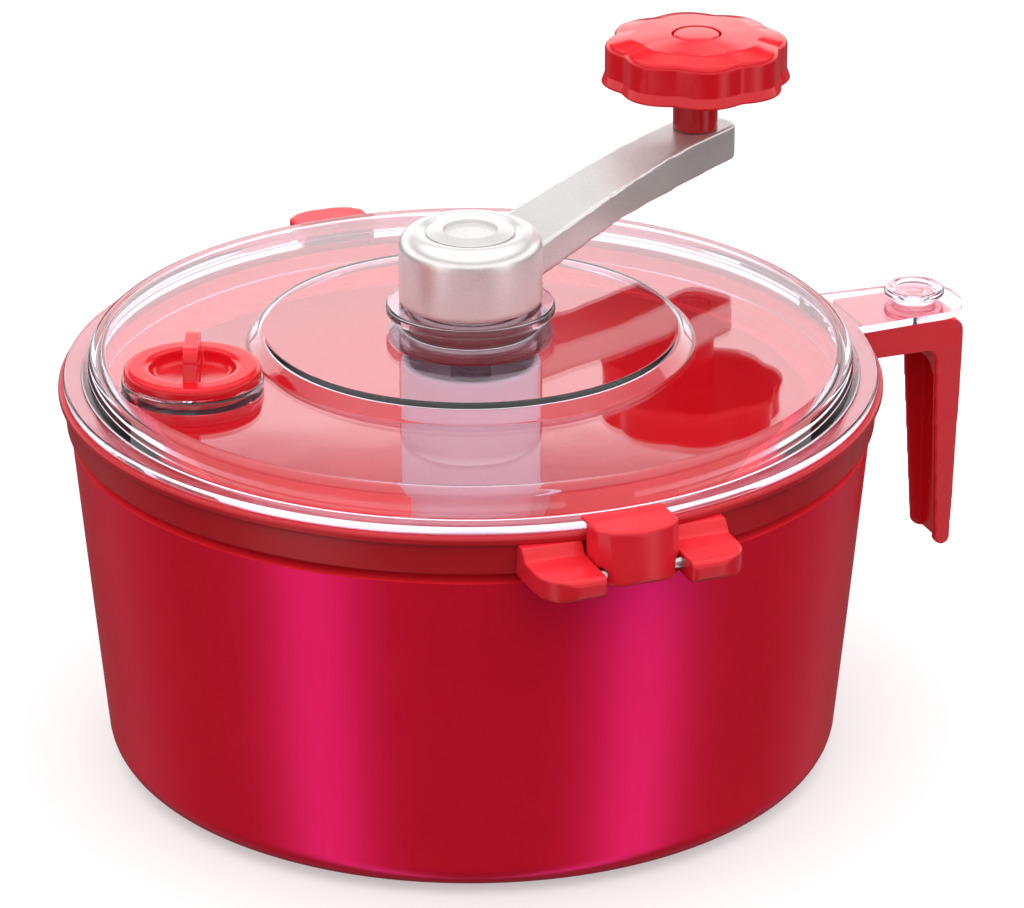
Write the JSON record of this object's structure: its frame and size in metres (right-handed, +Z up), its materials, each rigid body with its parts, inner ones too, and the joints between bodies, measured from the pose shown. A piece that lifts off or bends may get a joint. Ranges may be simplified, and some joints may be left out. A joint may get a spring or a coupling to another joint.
{
  "type": "manual dough maker",
  "caption": "Hand-cranked kneading bowl with a clamped clear lid, filling port, crank with lobed knob, side handle and a kneading blade.",
  "frame": {"origin": "centre of the base pad's flat underside, on the table under the bowl's axis", "axes": "+Z up along the crank's axis, +X towards the handle, +Y towards the rear clip"},
  "size_m": [0.276, 0.277, 0.1902],
  "materials": {
    "bowl_red": "metallic lacquer with magenta highlights",
    "moulded_red": "satin-gloss moulded",
    "gloss_red": "high gloss",
    "clear_lid": "clear, polished",
    "satin_silver": "satin silver",
    "steel": "turned",
    "dark_rubber": "matte",
    "white_nylon": "satin moulded",
    "brown_bush": "satin moulded"
  },
  "bodies": {
    "bowl": {"bowl": "bowl_red", "base_pad": "dark_rubber", "pivot_pin": "steel", "collar": "moulded_red", "handle": "moulded_red", "handle_screw_left": "steel", "handle_screw_right": "steel", "front_clip_pin": "steel", "rear_clip_pin": "steel"},
    "lid": {"lid": "clear_lid", "thumb_stud": "clear_lid", "lid_bush": "brown_bush"},
    "crank": {"crank_arm": "satin_silver", "hub_cap": "satin_silver", "hub_screw": "steel", "drive_shaft": "steel", "shaft_washer": "white_nylon", "shaft_clip": "steel", "knob_axle": "steel", "axle_nut": "steel"},
    "knob": {"knob": "gloss_red", "knob_cap": "gloss_red"},
    "fill_cap": {"fill_cap": "gloss_red", "fill_cap_seal": "dark_rubber"},
    "front_clip": {"front_clip": "moulded_red"},
    "rear_clip": {"rear_clip": "moulded_red"},
    "blade": {"kneading_blade": "white_nylon", "blade_socket": "white_nylon", "foot_bush": "white_nylon", "thrust_washer": "white_nylon"}
  },
  "joints": [
    {"name": "lid_lift", "type": "slide", "parent": "bowl", "child": "lid", "axis": [0, 0, 1], "range_m": [0, 0.12]},
    {"name": "crank_spin", "type": "hinge", "parent": "lid", "child": "crank", "pos_m": [0, 0, 0.141], "axis": [0, 0, 1], "continuous": true},
    {"name": "knob_spin", "type": "hinge", "parent": "crank", "child": "knob", "pos_m": [0.09464, 0.058, 0.174], "axis": [0, 0, 1], "continuous": true},
    {"name": "cap_lift", "type": "slide", "parent": "lid", "child": "fill_cap", "axis": [0, 0, 1], "range_m": [0, 0.03]},
    {"name": "front_clip_open", "type": "hinge", "parent": "bowl", "child": "front_clip", "pos_m": [0, -0.13, 0.1078], "axis": [1, 0, 0], "range_deg": [0, 95]},
    {"name": "rear_clip_open", "type": "hinge", "parent": "bowl", "child": "rear_clip", "pos_m": [0, 0.13, 0.1078], "axis": [-1, 0, 0], "range_deg": [0, 95]},
    {"name": "blade_spin", "type": "hinge", "parent": "bowl", "child": "blade", "pos_m": [0, 0, 0.03], "axis": [0, 0, 1], "continuous": true}
  ],
  "couplings": [
    {"joint": "blade_spin", "follows": "crank_spin", "ratio": 1}
  ]
}
